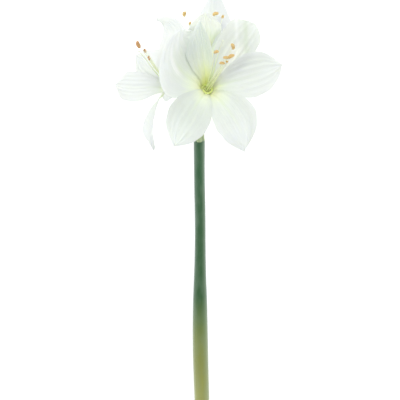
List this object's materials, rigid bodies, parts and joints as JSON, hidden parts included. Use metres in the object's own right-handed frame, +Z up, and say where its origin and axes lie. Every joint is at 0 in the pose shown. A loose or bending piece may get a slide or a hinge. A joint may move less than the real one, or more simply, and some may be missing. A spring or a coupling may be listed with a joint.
{
  "type": "amaryllis stem",
  "caption": "Cut amaryllis stem lying down: a thick green flower stalk topped with wide open white trumpet blooms, each with a lime green throat and curved stamens with golden anthers.",
  "frame": {"origin": "on the table, under the middle of the bounding box", "axes": "+Y along the stem from its cut end to the blooms, +Z up from the table, +X to the right as seen from above with the blooms away"},
  "size_m": [0.2382, 0.6074, 0.1915],
  "materials": {
    "stalk": "smooth green skin with a thin grey bloom",
    "stalklet": "smooth light green skin",
    "tepal": "soft white petal with a lime green base",
    "stamens": "pale filaments and powdery golden anthers",
    "style": "smooth greenish white"
  },
  "bodies": {
    "root": {"stalk": "stalk", "front_stalklet": "stalklet", "left_stalklet": "stalklet", "back_stalklet": "stalklet", "front_tepal_top": "tepal", "front_tepal_left": "tepal", "front_tepal_lower_left": "tepal", "front_tepal_lower_right": "tepal", "front_tepal_right": "tepal", "front_tepal_upper_right": "tepal", "left_tepal_top": "tepal", "left_tepal_upper": "tepal", "left_tepal_outer": "tepal", "left_tepal_lower": "tepal", "left_tepal_near_lower": "tepal", "left_tepal_near_upper": "tepal", "back_tepal_near": "tepal", "back_tepal_near_right": "tepal", "back_tepal_far_right": "tepal", "back_tepal_far": "tepal", "back_tepal_far_left": "tepal", "back_tepal_near_left": "tepal", "front_stamens": "stamens", "left_stamens": "stamens", "back_stamens": "stamens", "front_style": "style", "left_style": "style", "back_style": "style"}
  },
  "joints": []
}
